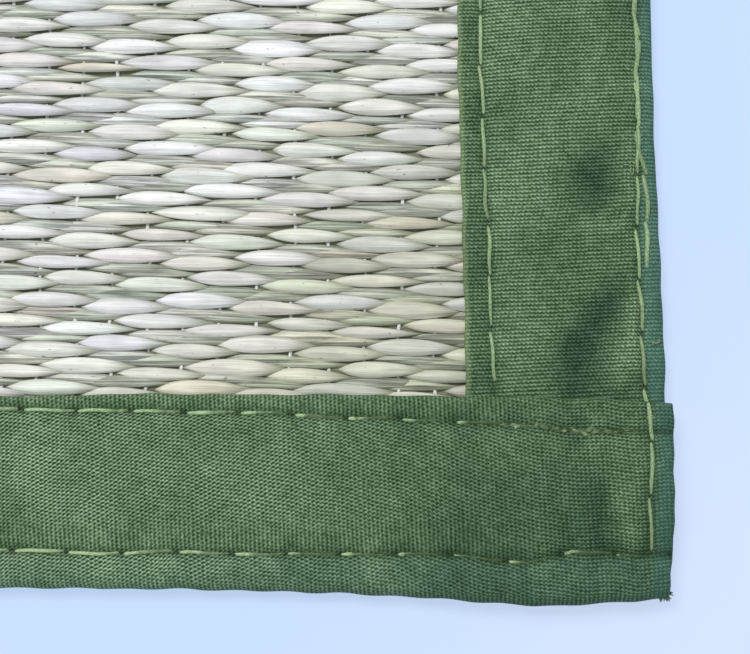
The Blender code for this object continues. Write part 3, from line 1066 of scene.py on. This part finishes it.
def stitches(strip, number, start, end, tube, style="top", pitch=None, offset=0.0, weight=1.0):
    """One row of stitches along a seam: each dives into the cloth at both of its ends."""
    stations, sides = tube
    pitch = pitch or strip.pitch
    origin = strip.holes[number - 1]
    first = math.ceil((start - origin) / pitch - 0.01)
    last = math.ceil((end - origin) / pitch - 0.01)
    source = np.random.default_rng(strip.seed + 10 * number + len(style) + round(pitch / MM))
    count = last - first
    holes = origin + np.arange(first, last) * pitch + source.normal(0, 0.12, count) * MM
    reach = np.minimum(pitch * (0.97 + source.normal(0, 0.015, count)), end - holes)
    t = np.linspace(0, 1, stations)
    along = holes[:, None] + t[None, :] * reach[:, None]
    lean = 0.14 * MM * (1 + source.normal(0, 0.5, count))
    away = offset(strip.from_end(along)) if callable(offset) else offset
    across = strip.seam(number, along) + away + (t[None, :] - 0.5) * 2 * lean[:, None]
    bend = source.normal(0.06, 0.05, count)[:, None] * MM
    across = across + bend * np.sin(math.pi * 2 * t)[None, :]
    across = across + source.normal(0, 0.06, count)[:, None] * MM * np.sin(math.pi * t)[None, :]
    arch = np.sin(math.pi * t)[None, :] ** 0.36 * np.ones((count, 1))
    pale = np.clip(source.normal(0.85, 0.12, count), 0.4, 1)[:, None] * np.ones_like(arch)
    if style == "under":
        height = 0.52 * MM - 0.18 * MM * arch
    elif strip.kind == "end":
        # These are pulled in tight: only the start of each stands clear of the cloth
        # The part of each stitch that sinks into the cloth is darkened as painted shade
        tight = smooth((98 * MM - strip.half + np.abs(along)) / (66 * MM))
        bright = (0.60 - 0.47 * tight) * source.uniform(0.6, 1.4, count)[:, None]
        settled = smooth((t[None, :] - 0.03) / (2 * bright)) * (0.45 + 0.55 * tight)
        height = surface(strip, across, along) - 0.34 * MM + (0.54 - 0.36 * settled) * MM * arch
        flecks = 1 + 0.45 * wavy(along, strip.seed + 90, (0.0021, 0.0013)) * (0.4 + 0.6 * tight)
        pale = np.clip(1.70 * pale * (1 - 0.91 * settled) * flecks, 0, 1.45)
    else:
        height = surface(strip, across, along) - 0.30 * MM + 0.46 * MM * arch
    centre = strip.world(across, along, height)
    side = strip.world(across + 1 * MM, along, height) - centre
    radius = weight * THREAD_RADIUS * (0.82 + 0.18 * arch)
    radius = radius * (1 + source.normal(0, 0.08, count))[:, None]
    if stations > 8:
        radius = radius * (1 + source.normal(0, 0.07, radius.shape))
    return *thread_tubes(centre, side, radius, sides), thread_values(along, pale, sides)


def frayed_corner(strip):
    """A few loose yarns at the corner that the camera sees, where the end is folded in."""
    source = np.random.default_rng(77)
    count = 60
    t = np.linspace(0, 1, 7)
    reach = source.uniform(0.3, 1.25, count)[:, None] * MM
    heading = source.normal(-0.50, 0.50, count)[:, None] + source.normal(0, 0.5, (count, 1)) * t
    start_along = strip.half - source.uniform(0.9, 1.7, count)[:, None] * MM
    start_across = source.uniform(1.5, 2.5, count)[:, None] * MM
    along = start_along + t * reach * np.cos(heading)
    across = start_across + t * reach * np.sin(heading)
    height = 2.6 * MM + source.uniform(-0.9, 0.9, count)[:, None] * MM - 0.5 * MM * t * t
    radius = 0.12 * MM * (1 - 0.6 * t) * np.ones((count, 1))
    points, faces = thread_tubes(strip.world(across, along, height), UP, radius, 4)
    return points, faces, np.zeros((len(points), 3)) + (1.0, 1.0, 0.02)


def knots(strip):
    """Small tangles of thread beside the outer seam, where it was started and ended."""
    source = np.random.default_rng(31)
    parts = []
    for from_end, across_mm, spread, count in KNOTS:
        t = np.linspace(0, 1, 9)
        turn = source.uniform(0, 2 * math.pi, (count, 1)) + source.uniform(-3.2, 3.2, (count, 1)) * t
        step = source.uniform(0.5, 1.0, (count, 1)) * spread * MM / 7
        across = across_mm * MM + source.normal(0, 0.25, (count, 1)) * spread * MM
        across = across + np.cumsum(step * np.cos(turn), 1)
        along = (from_end * MM - strip.half) + source.normal(0, 0.25, (count, 1)) * spread * MM
        along = along + np.cumsum(step * np.sin(turn), 1)
        height = surface(strip, across, along) + 0.12 * MM * np.sin(math.pi * t)[None, :]
        centre = strip.world(across, along, height)
        points, faces = thread_tubes(centre, UP, 0.11 * MM * np.ones_like(along), 5)
        parts.append((points, faces, np.zeros((len(points), 3)) + (0.7, 0.4, 0.55)))
    return parts


def tangle(strip):
    """Loose olive threads bunched along the end of the inner seam."""
    along = np.linspace(strip.half - 22.5 * MM, strip.half - 4.8 * MM, 110)
    from_end = (strip.half - along) / MM
    thick = 0.62 + 0.16 * wavy(along, 44, (0.0047, 0.0031))
    for middle, half_length, more in TANGLE_LUMPS:
        thick = thick + more * bell(from_end - middle, half_length)
    thick = thick * smooth((from_end - 4.6) / 1.5) ** 0.5
    strands = []
    for seed in range(50, 100, 10):
        across = 0.20 * MM * thick * wavy(along, seed, (0.0061, 0.0037, 0.0023))
        height = 0.13 * MM * thick * wavy(along, seed + 1, (0.0043, 0.0027, 0.0017))
        uneven = 1 + 0.28 * wavy(along, seed + 2, (0.0029, 0.0017, 0.0011))
        pale = 0.27 + 0.27 * wavy(along, seed + 3, (0.0037, 0.0019, 0.0013))
        strands.append((across, height, 0.17 * MM * thick * uneven, pale))
    across, height, radius, pale = (np.array(values) for values in zip(*strands))
    # Painted light: the higher a strand lies, the paler it is
    pale = np.clip(pale + 0.9 * height / MM, 0.04, 1.0)
    across = strip.seam(2, along) - 0.05 * MM + across
    along = np.broadcast_to(along, across.shape)
    centre = strip.world(across, along, surface(strip, across, along) - 0.02 * MM + height)
    return *thread_tubes(centre, UP, radius, 6), thread_values(along, pale, 6)


def surface(strip, across, along):
    """Height of the cloth's top here, an end strip's where it lies over a side strip."""
    height = strip.top_height(across, along)
    point = strip.world(across, along, 0.0)
    for end in strip.lies_under:
        u, s = end.local(point[..., 0], point[..., 1])
        over = smooth((end.inner(s) + 0.2 * MM - u) / (0.7 * MM))
        height = height + over * (end.top_height(u, s) - height)
    return height


def second_run(from_end):
    """How far the seam's repeated run strays from the first, by the distance from the end."""
    twined = 0.30 * MM * np.sin(2 * math.pi * from_end / (9.5 * MM))
    parted = smooth((62 * MM - from_end) / (9 * MM))
    return twined * (1 - parted) - 1.1 * MM * parted


def strip_sewing(strip, material):
    """All the stitches of one strip, on its top and underneath."""
    parts = []
    end = strip.half
    fine = round(FINE_LENGTH / strip.pitch) * strip.pitch
    for number, hole in enumerate(strip.holes, 1):
        reach = min(abs(hole), end - SEAM_END)
        if strip.kind == "side" and number == 2:
            reach = end - SIDE_INNER_END
        cuts = {
            "low": ((-reach, hole + fine, FINE_TUBE), (hole + fine, reach, PLAIN_TUBE)),
            "high": ((-reach, hole - fine, PLAIN_TUBE), (hole - fine, reach, FINE_TUBE)),
            None: ((-reach, reach, PLAIN_TUBE),),
        }[strip.fine]
        for low, high, tube in cuts:
            parts.append(stitches(strip, number, low, high, tube))
        if not (strip.kind == "side" and number == 1):
            parts.append(stitches(strip, number, -reach, reach, UNDER_TUBE, style="under"))
    if strip.fine == "low":
        low, high = SECOND_RUN[0] - end, SECOND_RUN[1] - end
        extra = {"pitch": SECOND_PITCH, "offset": second_run, "weight": 1.15}
        parts.append(stitches(strip, 1, low, high, FINE_TUBE, **extra))
        parts.extend(knots(strip))
    if strip.fine == "high":
        parts.append(tangle(strip))
        parts.append(frayed_corner(strip))
    points, faces, values = joined(parts)
    made = mesh_object(strip.name + "_stitches", material, points, [faces], {"thread": values})
    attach(made, "root")
    return made


# The stage


def camera_and_light():
    data = bpy.data.cameras.new("camera")
    data.lens = LENS_MM
    data.sensor_width = SENSOR_MM
    camera = bpy.data.objects.new("camera", data)
    bpy.context.scene.collection.objects.link(camera)
    bpy.context.scene.camera = camera
    tilt, roll = math.radians(TILT_DEGREES), math.radians(ROLL_DEGREES)
    camera.rotation_euler = (tilt, 0, roll)
    back = (math.sin(roll) * math.sin(tilt), -math.cos(roll) * math.sin(tilt), math.cos(tilt))
    camera.location = [LOOK_AT[i] + DISTANCE * back[i] for i in range(3)]

    sun = bpy.data.lights.new("key", "SUN")
    sun.energy = SUN_STRENGTH
    sun.angle = math.radians(SUN_BREADTH_DEGREES)
    sun.color = SUN_COLOUR
    key = bpy.data.objects.new("key", sun)
    key.rotation_euler = [math.radians(turn) for turn in SUN_TURN_DEGREES]
    bpy.context.scene.collection.objects.link(key)

    world = bpy.data.worlds.new("soft sky")
    world.use_nodes = True
    sky = world.node_tree.nodes["Background"]
    sky.inputs["Color"].default_value = SKY_COLOUR
    sky.inputs["Strength"].default_value = SKY_STRENGTH
    bpy.context.scene.world = world
    bpy.context.scene.view_settings.view_transform = "Standard"
    bpy.context.scene.view_settings.look = "None"


def floor():
    turns = ((-1, -1), (1, -1), (1, 1), (-1, 1))
    points = np.array([(x * FLOOR_HALF, y * FLOOR_HALF, FLOOR_HEIGHT) for x, y in turns])
    made = mesh_object("floor", floor_material(), points, [np.array([[0, 1, 2, 3]])])


def main():
    camera_and_light()
    floor()
    rush, sewing = rush_material(), sewing_material()
    cloth = {kind: cloth_material(kind) for kind in KINDS}
    ground = rush_ground(ground_material())
    going = [warp_threads(warp_material())]

    low = np.array((-MAT_WIDTH / 2, -MAT_LENGTH / 2)) + BAND_INNER - FIELD_MARGIN
    high = -low
    hero = (CORNER[0] - HERO_REACH[0], CORNER[1] + HERO_REACH[1])
    every = range(len(STEMS))
    corners = ((hero[0], low[1]), (high[0], hero[1]))
    going.append(weave_piece("rush_floats_corner", rush, *corners, FINE_FLOAT, every))
    edges = np.linspace(low[0], high[0], PIECE_COLUMNS + 1)
    for i in range(PIECE_COLUMNS):
        corners = ((edges[i], low[1]), (edges[i + 1], high[1]))
        name = f"rush_floats_{i + 1}"
        going.append(weave_piece(name, rush, *corners, PLAIN_FLOAT, every, skip=hero))
    proud = [i for i in every if STEMS[i][0] == "proud"]
    under = weave_piece("rush_floats_under", rush, low, high, UNDER_FLOAT, proud, face_down=True)
    going.append(under)

    strips = [Strip(name) for name in STRIPS]
    sides = [strip for strip in strips if strip.kind == "side"]
    ends = [strip for strip in strips if strip.kind == "end"]
    for strip in strips:
        strip.crossed_by = sides if strip.kind == "end" else ()
        strip.lies_under = ends if strip.kind == "side" else ()
    for strip in strips:
        made = binding(strip, cloth[strip.kind])
        sewn = strip_sewing(strip, sewing)


main()
